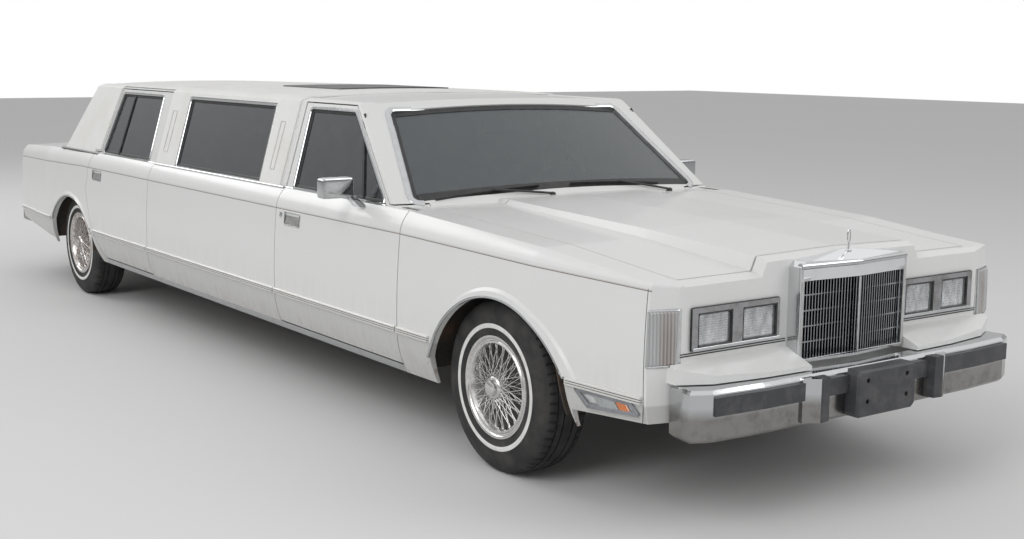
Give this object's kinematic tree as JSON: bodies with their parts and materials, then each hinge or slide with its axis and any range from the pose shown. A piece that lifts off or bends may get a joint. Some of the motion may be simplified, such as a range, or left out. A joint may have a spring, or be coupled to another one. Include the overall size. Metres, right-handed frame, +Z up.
{
  "type": "stretch limousine",
  "caption": "Long stretched saloon car on a separate frame, with padded rear roof, upright grille, opening doors, hood and trunk lid, and steered front wheels.",
  "frame": {"origin": "on the floor, under the middle of the car's bounding box", "axes": "+X to the front of the car, +Y to its left, +Z up"},
  "size_m": [7.392, 2.18, 1.4256],
  "materials": {
    "body_paint": "gloss white paint, weathered",
    "vinyl_cover": "grained white vinyl",
    "bright_trim": "polished chrome",
    "lamp_clear": "fluted clear lens",
    "lamp_red": "red lens",
    "dark_strip": "satin charcoal",
    "glass_clear": "lightly tinted",
    "glass_dark": "dark tinted",
    "underbody": "undercoated steel",
    "engine_iron": "oily iron",
    "exhaust_steel": "surface rust",
    "interior_plastic": "grained plastic",
    "seat_cloth": "grey upholstery",
    "tyre_rubber": "black rubber, white wall",
    "wheel_chrome": "chrome wheel cover"
  },
  "bodies": {
    "root": {"chassis_frame": "underbody", "corner_lamps": "lamp_clear", "cowl_panel": "body_paint", "dashboard": "interior_plastic", "door_seals": "underbody", "engine_block": "engine_iron", "exhaust": "exhaust_steel", "floor_pan": "underbody", "front_bumper": "bright_trim", "front_crossmember": "underbody", "front_fenders": "body_paint", "front_seats": "seat_cloth", "fuel_tank": "underbody", "grille": "bright_trim", "headlamp_bezels": "bright_trim", "headlamps": "lamp_clear", "hood_ornament": "bright_trim", "nose_panel": "body_paint", "partition": "interior_plastic", "plate_bracket": "dark_strip", "quarter_panels": "body_paint", "rear_axle": "underbody", "rear_bumper": "bright_trim", "rear_glass": "glass_dark", "rear_seats": "seat_cloth", "rocker_panels": "bright_trim", "roof_panel": "body_paint", "rub_strips": "dark_strip", "side_glass": "glass_dark", "steering_wheel": "interior_plastic", "stretch_panels": "body_paint", "sunroof": "glass_dark", "tail_lamps": "lamp_red", "tail_panel": "body_paint", "vinyl_roof": "vinyl_cover", "wheel_wells": "underbody", "windshield": "glass_clear"},
    "hood_lid": {"hood": "body_paint"},
    "trunk": {"trunk_lid": "body_paint"},
    "door_front_right": {"front_door_right": "body_paint", "front_door_glass_right": "glass_dark", "mirror_right": "bright_trim"},
    "door_front_left": {"front_door_left": "body_paint", "front_door_glass_left": "glass_dark", "mirror_left": "bright_trim"},
    "door_rear_right": {"rear_door_right": "body_paint", "rear_door_glass_right": "glass_dark"},
    "door_rear_left": {"rear_door_left": "body_paint", "rear_door_glass_left": "glass_dark"},
    "steer_knuckle_right": {"knuckle_right": "underbody"},
    "steer_knuckle_left": {"knuckle_left": "underbody"},
    "road_wheel_front_right": {"tyre_front_right": "tyre_rubber", "wheel_front_right": "wheel_chrome"},
    "road_wheel_front_left": {"tyre_front_left": "tyre_rubber", "wheel_front_left": "wheel_chrome"},
    "road_wheel_rear_right": {"tyre_rear_right": "tyre_rubber", "wheel_rear_right": "wheel_chrome"},
    "road_wheel_rear_left": {"tyre_rear_left": "tyre_rubber", "wheel_rear_left": "wheel_chrome"}
  },
  "joints": [
    {"name": "hood_open", "type": "hinge", "parent": "root", "child": "hood_lid", "pos_m": [1.944, 0, 0.99], "axis": [0, -1, 0], "range_deg": [0, 55]},
    {"name": "trunk_open", "type": "hinge", "parent": "root", "child": "trunk", "pos_m": [-2.563, 0, 0.964], "axis": [0, 1, 0], "range_deg": [0, 70]},
    {"name": "door_front_right_open", "type": "hinge", "parent": "root", "child": "door_front_right", "pos_m": [1.998, -0.958, 0.6], "axis": [0, 0, 1], "range_deg": [0, 65]},
    {"name": "door_front_left_open", "type": "hinge", "parent": "root", "child": "door_front_left", "pos_m": [1.998, 0.958, 0.6], "axis": [0, 0, -1], "range_deg": [0, 65]},
    {"name": "door_rear_right_open", "type": "hinge", "parent": "root", "child": "door_rear_right", "pos_m": [-0.797, -0.958, 0.6], "axis": [0, 0, 1], "range_deg": [0, 65]},
    {"name": "door_rear_left_open", "type": "hinge", "parent": "root", "child": "door_rear_left", "pos_m": [-0.797, 0.958, 0.6], "axis": [0, 0, -1], "range_deg": [0, 65]},
    {"name": "steer_left", "type": "hinge", "parent": "root", "child": "steer_knuckle_left", "pos_m": [2.546, 0.7, 0.341], "axis": [0, 0, 1], "range_deg": [-32, 32]},
    {"name": "steer_right", "type": "hinge", "parent": "root", "child": "steer_knuckle_right", "pos_m": [2.546, -0.7, 0.341], "axis": [0, 0, 1], "range_deg": [-32, 32]},
    {"name": "wheel_front_right_roll", "type": "hinge", "parent": "steer_knuckle_right", "child": "road_wheel_front_right", "pos_m": [2.546, -0.79, 0.341], "axis": [0, 1, 0], "continuous": true},
    {"name": "wheel_front_left_roll", "type": "hinge", "parent": "steer_knuckle_left", "child": "road_wheel_front_left", "pos_m": [2.546, 0.79, 0.341], "axis": [0, 1, 0], "continuous": true},
    {"name": "wheel_rear_right_roll", "type": "hinge", "parent": "root", "child": "road_wheel_rear_right", "pos_m": [-2.262, -0.787, 0.341], "axis": [0, 1, 0], "continuous": true},
    {"name": "wheel_rear_left_roll", "type": "hinge", "parent": "root", "child": "road_wheel_rear_left", "pos_m": [-2.262, 0.787, 0.341], "axis": [0, 1, 0], "continuous": true}
  ],
  "couplings": [
    {"joint": "steer_right", "follows": "steer_left", "ratio": 1}
  ]
}
